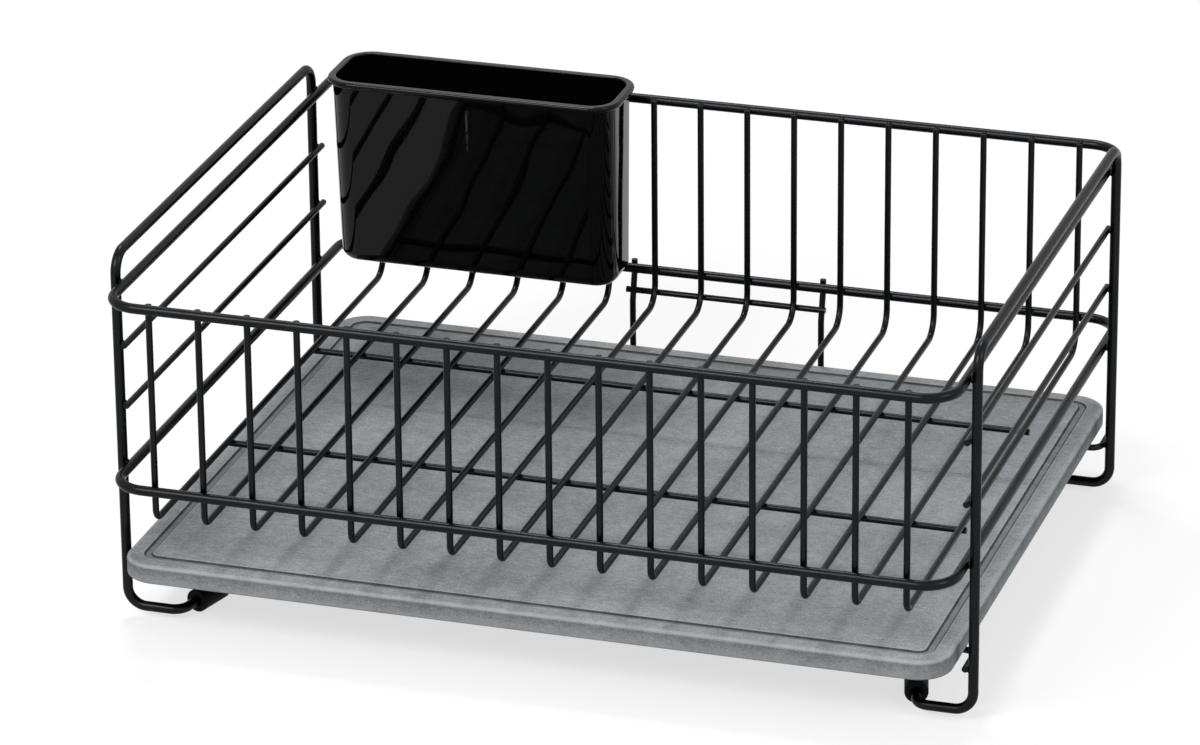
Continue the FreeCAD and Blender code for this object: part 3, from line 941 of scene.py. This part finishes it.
def board_profile(board, low, high):
    """From the board's bottom over its edge and groove: inset, height and lightness of each loop:
    pale, rubbed edges with a painted highlight, painted shade in the groove.
    """
    profile = [(board.bottom_edge + BOARD_HOLD, low.z, 0.0)]
    for sine, cosine in arc_steps(6):
        inset = board.bottom_edge * (1 - sine)
        wear_and_painted_light = BOTTOM_EDGE_WEAR * sine
        profile.append((inset, low.z + board.bottom_edge * (1 - cosine), wear_and_painted_light))
    profile.append((0.0, (low.z + high.z) / 2, 0.0))
    for sine, cosine in arc_steps(10):
        inset = board.top_edge * (1 - cosine)
        # The top edge is palest part way round its rounding: rubbed, and a painted highlight there
        wear_and_painted_light = 1 - abs(2 * sine - TOP_EDGE_WEAR_AND_HIGHLIGHT)
        profile.append((inset, high.z - board.top_edge * (1 - sine), wear_and_painted_light))
    profile.append((board.top_edge + BOARD_HOLD, high.z, 0.0))

    # The groove is a flat channel with leaning walls and eased brinks, here one half of it:
    # distance from the outer brink, drop from the top, and lightness: a painted highlight on the
    # brink, painted shade on the walls and the floor
    depth = board.groove_depth
    lean = board.groove_slope * depth
    half = [
        (-0.0012, 0.0, 0.0),
        (-0.0003, 0.0, 0.4),
        (-0.00006, 0.00004, 0.4),
        # From here on the groove's walls and floor take painted shade
        (0.00012, 0.00022, -1.0),
        (lean - 0.00012, depth - 0.00018, -1.0),
        (lean + 0.00022, depth, -0.8),
        (lean + 0.0006, depth, -0.3),
    ]
    near = board.groove_inset
    far = board.groove_inset + board.groove_width
    profile += [(near + across, high.z - drop, wear_and_painted_light) for across, drop, wear_and_painted_light in half]
    profile += [(far - across, high.z - drop, wear_and_painted_light) for across, drop, wear_and_painted_light in reversed(half)]
    return profile


class DRAINER_OT_drain_board(bpy.types.Operator):
    """Make the stone board with its eased edges and its groove"""

    bl_idname = "drainer.drain_board"
    bl_label = "Drain Board"

    def execute(self, context):
        board = context.scene.drainer_board
        low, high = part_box("drain_board")
        centre = (low + high) / 2
        length, depth = high.x - low.x, high.y - low.y
        loops, marks = [], []
        for inset, height, wear_and_painted_light in board_profile(board, low, high):
            loops.append(rounded_loop(
                centre, length - 2 * inset, depth - 2 * inset,
                board.corner_radius - inset, height, BOARD_CORNER_STEPS))
            marks.append(wear_and_painted_light)
        bm = bmesh.new()
        add_loft(bm, loops, marks, bm.verts.layers.float.new("wear_and_painted_light"))
        stone = shared_material("pressed_stone", stone_material, board.stone_color)
        piece = smooth_object("drain_board_stone", bm, stone)
        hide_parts("drain_board")
        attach(piece, "board")
        return {"FINISHED"}


def cap_profile(cap, bore):
    """Down the bore, round the mouth and over the outside: radius and distance along the axis."""
    radius, length, end = cap.diameter / 2, cap.length, cap.end_radius
    bore_end = length - CAP_END_WALL
    profile = [
        (CAP_CENTRE_LOOP, bore_end),
        (bore - CAP_EDGE, bore_end),
        (bore, bore_end - CAP_EDGE),
        (bore, CAP_HOLD),
        (bore + 0.0002, 0.0001),
        (bore + CAP_HOLD, 0.0),
        (radius - CAP_LIP - CAP_EDGE, 0.0),
    ]
    for sine, cosine in arc_steps(6):
        profile.append((radius - CAP_LIP * (1 - sine), CAP_LIP * (1 - cosine)))
    profile += [(radius, CAP_LIP + CAP_HOLD), (radius, length - end - CAP_HOLD)]
    for sine, cosine in arc_steps(8):
        profile.append((radius - end * (1 - cosine), length - end * (1 - sine)))
    return profile + [(radius - end - CAP_HOLD, length), (CAP_CENTRE_LOOP, length)]


def turned(profile, mouth, axis):
    """Loops of a profile turned about a level axis."""
    above = Vector((0.0, 0.0, 1.0))
    across = axis.cross(above)
    loops = []
    for distance, along in profile:
        loop = []
        for step in range(CAP_SEGMENTS):
            angle = 2 * math.pi * step / CAP_SEGMENTS
            outward = across * math.cos(angle) + above * math.sin(angle)
            loop.append(mouth + axis * along + outward * distance)
        loops.append(loop)
    return loops


class DRAINER_OT_foot_caps(bpy.types.Operator):
    """Make the rubber caps on the four feet"""

    bl_idname = "drainer.foot_caps"
    bl_label = "Foot Caps"

    def execute(self, context):
        cap = context.scene.drainer_cap
        rubber = shared_material("matt_cap_rubber", rubber_material, cap.rubber_color)
        bore = context.scene.drainer_wire.frame_diameter / 2 + CAP_FIT_GAP
        for end_name, leg_y, inward in (("front", FRONT_LEG_Y, 1), ("rear", REAR_LEG_Y, -1)):
            for side_name, side in (("left", -1), ("right", 1)):
                node = "%s_%s_foot_cap" % (end_name, side_name)
                corner, axis = foot_tail(side, leg_y, inward)
                mouth = corner + axis * (FOOT_TAIL + CAP_END_WALL - cap.length)
                bm = bmesh.new()
                add_loft(bm, turned(cap_profile(cap, bore), mouth, axis))
                piece = smooth_object(node + "_rubber", bm, rubber)
                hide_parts(node)
                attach(piece, "rack")
        return {"FINISHED"}


# Cutlery pocket

def pocket_measures(settings):
    """From the pocket's CAD node: middle of its bottom, height of its top and width of its lip."""
    low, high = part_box("cutlery_pocket")
    lip = (high.x - low.x - settings.length) / 2
    middle = Vector(((low.x + high.x) / 2, low.y + lip + settings.depth / 2, low.z))
    return middle, high.z, lip


def pocket_loop(settings, inset, z):
    """Points round the pocket at one height, drawn in by an inset; its walls lean."""
    base, top, _ = pocket_measures(settings)
    lean = min(max((top - z) / (top - base.z), 0.0), 1.0)
    front, rear = settings.front_taper, settings.rear_taper
    length = settings.length - 2 * inset - 2 * settings.end_taper * lean
    depth = settings.depth - 2 * inset - (front + rear) * lean
    centre_y = base.y + (front - rear) / 2 * lean
    radius = settings.corner_radius - inset - settings.end_taper * lean
    return rounded_loop((base.x, centre_y), length, depth, radius, z, POCKET_CORNER_STEPS)


def pocket_shell(bm, layer, settings):
    """Outer wall, lip, inner wall and floor in one skin."""
    base, top, lip = pocket_measures(settings)
    wall = settings.wall
    under_lip = top - LIP_DROP
    inner_floor = base.z + wall
    loops, marks = [], []

    def put(inset, z, inside=0.0):
        loops.append(pocket_loop(settings, inset, z))
        marks.append(inside)

    outer = settings.bottom_radius
    put(outer + POCKET_FLOOR_HOLD, base.z)
    for sine, cosine in arc_steps(12):
        put(outer * (1 - sine), base.z + outer * (1 - cosine))

    # The wall meets the lip's underside in a small hollow
    put(0.0001, under_lip - 0.0012)
    put(0.0, under_lip - 0.0002)
    put(-0.0003, under_lip)
    put(-lip + LIP_ROUNDING + 0.0002, under_lip)
    for sine, cosine in arc_steps(6):
        rise = LIP_ROUNDING * (1 - cosine) * LIP_SQUASH
        put(-lip + LIP_ROUNDING * (1 - sine), under_lip + rise)
    for sine, cosine in arc_steps(6):
        put(-lip + LIP_ROUNDING * (1 - cosine), top - LIP_ROUNDING * (1 - sine))
    put(-lip + LIP_ROUNDING + POCKET_LIP_HOLD, top)
    put(wall - MOUTH_ROUNDING - POCKET_LIP_HOLD, top)
    for sine, cosine in arc_steps(5):
        put(wall - MOUTH_ROUNDING * (1 - sine), top - MOUTH_ROUNDING * (1 - cosine), inside=0.5)
    put(wall, top - MOUTH_DEPTH, inside=1.0)
    inner = outer - wall
    for sine, cosine in reversed(arc_steps(10)):
        put(wall + inner * (1 - sine), inner_floor + inner * (1 - cosine), inside=1.0)
    put(wall + inner + POCKET_FLOOR_HOLD, inner_floor, inside=1.0)
    add_loft(bm, loops, marks, layer)


def ease_edges(bm, edges):
    """Rounds edges as a mould does; returns the new vertices."""
    result = bmesh.ops.bevel(
        bm, geom=edges, offset=MOULDED_EDGE, segments=3, profile=0.5, affect="EDGES")
    return result["verts"]


def pocket_divider(bm, layer, settings):
    """Wall between the two compartments, let into the front wall, the rear wall and the floor."""
    base, top, _ = pocket_measures(settings)
    corners = []
    for z in (base.z + settings.wall / 2, top - DIVIDER_DROP):
        outline = pocket_loop(settings, settings.wall / 2, z)
        front_y = min(point.y for point in outline)
        rear_y = max(point.y for point in outline)
        for side, y in ((-1, front_y), (1, front_y), (1, rear_y), (-1, rear_y)):
            corners.append(bm.verts.new((base.x + side * HALF_DIVIDER, y, z)))
    lower, upper = corners[:4], corners[4:]
    bm.faces.new(list(reversed(lower)))
    bm.faces.new(upper)
    add_skin(bm, lower, upper)
    rounded = ease_edges(bm, list({edge for vertex in upper for edge in vertex.link_edges}))
    for vertex in set(rounded) | {vertex for vertex in lower if vertex.is_valid}:
        vertex[layer] = DIVIDER_INSIDE


def pocket_hook(bm, x, root_y, wire):
    """Hook over the rear rim: an arm and a tongue in one bent strip with rounded edges."""
    under = RIM_HEIGHT + wire.frame_diameter / 2 + HOOK_GAP
    over = under + HOOK_THICKNESS
    inner_y = RING_HALF_DEPTH + wire.frame_diameter / 2 + HOOK_GAP
    outer_y = inner_y + HOOK_THICKNESS
    tip = under - HOOK_DROP
    edge, inner, outer = HOOK_TIP_EDGE, HOOK_INNER_BEND, HOOK_OUTER_BEND
    outline = [(root_y, under), (inner_y - inner, under)]
    for sine, cosine in arc_steps(3)[1:]:
        outline.append((inner_y - inner * (1 - sine), under - inner * (1 - cosine)))
    outline += [
        (inner_y, tip + edge), (inner_y + edge, tip), (outer_y - edge, tip), (outer_y, tip + edge),
    ]
    for sine, cosine in arc_steps(6):
        outline.append((outer_y - outer * (1 - cosine), over - outer * (1 - sine)))
    outline.append((root_y, over))
    left = [bm.verts.new((x - HOOK_HALF_WIDTH, y, z)) for y, z in outline]
    right = [bm.verts.new((x + HOOK_HALF_WIDTH, y, z)) for y, z in outline]
    sides = [bm.faces.new(left), bm.faces.new(list(reversed(right)))]
    for index in range(len(outline)):
        after = (index + 1) % len(outline)
        bm.faces.new((left[index], right[index], right[after], left[after]))
    ease_edges(bm, list({edge for face in sides for edge in face.edges}))


def slot_cutter(settings):
    """Drain slots of both compartments as one cutting object."""
    base = pocket_measures(settings)[0]
    compartment = (settings.length - 2 * HALF_DIVIDER) / 4 + HALF_DIVIDER
    floor_y = base.y + (settings.front_taper - settings.rear_taper) / 2
    end_radius = SLOT_WIDTH / 2 - 0.00001
    bm = bmesh.new()
    for side in (-1, 1):
        for index in range(settings.slot_count):
            along = (index - (settings.slot_count - 1) / 2) * SLOT_PITCH
            centre = (base.x + side * compartment + along, floor_y)
            add_loft(bm, [
                rounded_loop(centre, SLOT_WIDTH, SLOT_RUN, end_radius, base.z + height, 8)
                for height in SLOT_CUT
            ])
    return add_object("slot_cutter", mesh_from(bm, "slot_cutter"))


def cut_slots(piece, settings):
    """Cuts the drain slots through the floor of the moulding."""
    cutter = slot_cutter(settings)
    cut = piece.modifiers.new("Drain Slots", "BOOLEAN")
    cut.operation = "DIFFERENCE"
    cut.solver = "EXACT"
    cut.object = cutter
    mesh = baked_mesh(piece, piece.name)
    piece.modifiers.clear()
    piece.data = mesh
    bpy.data.objects.remove(cutter)


class DRAINER_OT_cutlery_pocket(bpy.types.Operator):
    """Make the moulded pocket with its lip, divider, drain slots and hooks"""

    bl_idname = "drainer.cutlery_pocket"
    bl_label = "Cutlery Pocket"

    def execute(self, context):
        pocket = context.scene.drainer_pocket
        gloss = shared_material("gloss_plastic", gloss_material, pocket.plastic_color)
        bm = bmesh.new()
        pocket_shell(bm, bm.verts.layers.float.new("inside"), pocket)
        piece = smooth_object("cutlery_pocket_moulding", bm, gloss)
        cut_slots(piece, pocket)

        # The divider and the hooks go into the walls, so the moulding stays closed
        bm = bmesh.new()
        bm.from_mesh(piece.data)
        pocket_divider(bm, bm.verts.layers.float["inside"], pocket)
        base = pocket_measures(pocket)[0]
        root_y = base.y + (pocket.depth - pocket.wall) / 2
        for side in (-1, 1):
            x = base.x + side * HOOK_SPACING / 2
            pocket_hook(bm, x, root_y, context.scene.drainer_wire)
        for face in bm.faces:
            face.smooth = True
        bm.to_mesh(piece.data)
        bm.free()
        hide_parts("cutlery_pocket")
        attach(piece, "pocket")
        return {"FINISHED"}


# Stage

CAMERA_PLACE = Vector((0.9614, -3.0629, 1.4543))
CAMERA_AZIMUTH = math.radians(17.84)
CAMERA_ELEVATION = math.radians(22.95)
CAMERA_ROLL = math.radians(-0.592)
SENSOR_WIDTH = 36.0
FOCAL_PIXELS = 6553.0
PHOTO_WIDTH = 1200
FRAME_MIDDLE = (599.5, 372.0)
OPTICAL_MIDDLE = (584.7, 388.2)

# Place, size and share of the lamp power
LAMPS = {
    "lamp_behind": ((-0.6, 0.95, 2.2), (0.6, 0.6), 0.7),
    "lamp_front": ((-0.8, -1.9, 1.75), (1.2, 0.9), 1.2),
    "lamp_right": ((1.7, -0.5, 1.3), (0.8, 0.8), 0.28),
}
LAMP_TARGET = Vector((0.0, 0.0, 0.1))
FLOOR_LIFT = 0.68
WHITE = (1.0, 1.0, 1.0, 1.0)


def camera_matrix():
    """Camera at the photograph's place and angle, turned so that the frame needs no shift."""
    sine, cosine = math.sin(CAMERA_AZIMUTH), math.cos(CAMERA_AZIMUTH)
    flat, drop = math.cos(CAMERA_ELEVATION), math.sin(CAMERA_ELEVATION)
    ahead = Vector((-sine * flat, cosine * flat, -drop))
    level = Vector((cosine, sine, 0.0))
    above = level.cross(ahead)
    right = level * math.cos(CAMERA_ROLL) + above * math.sin(CAMERA_ROLL)
    up = above * math.cos(CAMERA_ROLL) - level * math.sin(CAMERA_ROLL)
    to_right = (FRAME_MIDDLE[0] - OPTICAL_MIDDLE[0]) / FOCAL_PIXELS
    upwards = (OPTICAL_MIDDLE[1] - FRAME_MIDDLE[1]) / FOCAL_PIXELS
    aim = (ahead + right * to_right + up * upwards).normalized()
    right = (right - aim * right.dot(aim)).normalized()
    turn = Matrix((right, right.cross(aim), -aim)).transposed()
    return Matrix.Translation(CAMERA_PLACE) @ turn.to_4x4()


def add_camera(scene):
    """Camera that shows the object as the photograph does."""
    data = bpy.data.cameras.new("camera")
    data.sensor_width = SENSOR_WIDTH
    data.lens = SENSOR_WIDTH * FOCAL_PIXELS / PHOTO_WIDTH
    data.clip_end = 100.0
    camera = add_object("camera", data)
    camera.matrix_world = camera_matrix()
    scene.camera = camera


def add_lamp(name, place, size, power):
    """Soft rectangular lamp that looks at the object."""
    light = bpy.data.lights.new(name, "AREA")
    light.shape = "RECTANGLE"
    light.size, light.size_y = size
    light.energy = power
    lamp = add_object(name, light)
    lamp.location = place
    way = LAMP_TARGET - Vector(place)
    lamp.rotation_euler = way.to_track_quat("-Z", "Y").to_euler()


def seen_directly(build):
    """1 for rays that the camera, gloss or glass sends out, 0 for the rest."""
    path = build.add("ShaderNodeLightPath").outputs
    first = build.math("MAXIMUM", path["Is Camera Ray"], path["Is Glossy Ray"])
    return build.math("MAXIMUM", first, path["Is Transmission Ray"])


def floor_material(color):
    """Plain floor with a very faint grain, lifted to white for the camera; it keeps a shadow."""
    material = bpy.data.materials.new("pale_floor")
    material.use_nodes = True
    build = TreeBuilder(material.node_tree)
    build.tree.nodes.clear()
    place = build.add("ShaderNodeTexCoord").outputs["Object"]
    grain = build.noise(place, scale=40.0)
    shade = build.mix(grain, scaled(color, 0.99), scaled(color, 1.01))
    matt = build.add("ShaderNodeBsdfDiffuse", Color=shade)
    lift = build.times(seen_directly(build), FLOOR_LIFT)
    glow = build.add("ShaderNodeEmission", Strength=lift)
    both = build.add("ShaderNodeAddShader")
    build.give(both.inputs[0], matt.outputs[0])
    build.give(both.inputs[1], glow.outputs[0])
    build.add("ShaderNodeOutputMaterial", Surface=both.outputs[0])
    return material


def light_the_room(scene, strength):
    """Even grey light from all round; the camera, gloss and glass see white."""
    world = scene.world or bpy.data.worlds.new("room")
    scene.world = world
    world.use_nodes = True
    build = TreeBuilder(world.node_tree)
    build.tree.nodes.clear()
    soft = build.add("ShaderNodeBackground", Color=WHITE, Strength=strength)
    white = build.add("ShaderNodeBackground", Color=WHITE, Strength=1.0)
    pick = build.add("ShaderNodeMixShader", Fac=seen_directly(build))
    build.give(pick.inputs[1], soft.outputs[0])
    build.give(pick.inputs[2], white.outputs[0])
    build.add("ShaderNodeOutputWorld", Surface=pick.outputs[0])


class DRAINER_OT_stage(bpy.types.Operator):
    """Set the floor, the lamps and the camera"""

    bl_idname = "drainer.stage"
    bl_label = "Stage"

    def execute(self, context):
        scene = context.scene
        stage = scene.drainer_stage
        half = stage.floor_size / 2
        corners = [(-half, -half, 0), (half, -half, 0), (half, half, 0), (-half, half, 0)]
        mesh = bpy.data.meshes.new("floor")
        mesh.from_pydata(corners, [], [(0, 1, 2, 3)])
        mesh.materials.append(floor_material(stage.floor_color))
        floor = add_object("floor", mesh)
        for name, (place, size, share) in LAMPS.items():
            add_lamp(name, place, size, stage.lamp_power * share)
        light_the_room(scene, stage.room_light)
        add_camera(scene)
        scene.view_settings.view_transform = "Standard"
        return {"FINISHED"}


OPERATORS = (
    DRAINER_OT_rings,
    DRAINER_OT_basket_wires,
    DRAINER_OT_end_frames,
    DRAINER_OT_board_supports,
    DRAINER_OT_welds,
    DRAINER_OT_foot_caps,
    DRAINER_OT_drain_board,
    DRAINER_OT_cutlery_pocket,
    DRAINER_OT_stage,
)

SETTINGS = {
    "drainer_wire": WireSettings,
    "drainer_cap": CapSettings,
    "drainer_board": BoardSettings,
    "drainer_pocket": PocketSettings,
    "drainer_stage": StageSettings,
}


class DRAINER_PT_panel(bpy.types.Panel):
    """Sizes, colours and making steps of the dish drainer"""

    bl_idname = "DRAINER_PT_panel"
    bl_label = "Dish Drainer Basket"
    bl_space_type = "VIEW_3D"
    bl_region_type = "UI"
    bl_category = "Dish Drainer"

    def draw(self, context):
        layout = self.layout
        for attribute, group in SETTINGS.items():
            box = layout.box()
            box.label(text=group.__doc__)
            settings = getattr(context.scene, attribute)
            for name in group.__annotations__:
                box.prop(settings, name)
        for operator in OPERATORS:
            layout.operator(operator.bl_idname)


def register():
    """Registers the settings, the operators and the panel."""
    for group in SETTINGS.values():
        bpy.utils.register_class(group)
    for attribute, group in SETTINGS.items():
        setattr(bpy.types.Scene, attribute, bpy.props.PointerProperty(type=group))
    for operator in OPERATORS:
        bpy.utils.register_class(operator)
    bpy.utils.register_class(DRAINER_PT_panel)


def unregister():
    """Takes back what register did."""
    bpy.utils.unregister_class(DRAINER_PT_panel)
    for operator in reversed(OPERATORS):
        bpy.utils.unregister_class(operator)
    for attribute in SETTINGS:
        delattr(bpy.types.Scene, attribute)
    for group in SETTINGS.values():
        bpy.utils.unregister_class(group)


def main():
    """Makes every piece and the stage."""
    register()
    for operator in OPERATORS:
        group, name = operator.bl_idname.split(".")
        getattr(getattr(bpy.ops, group), name)()


if __name__ == "__main__":
    main()
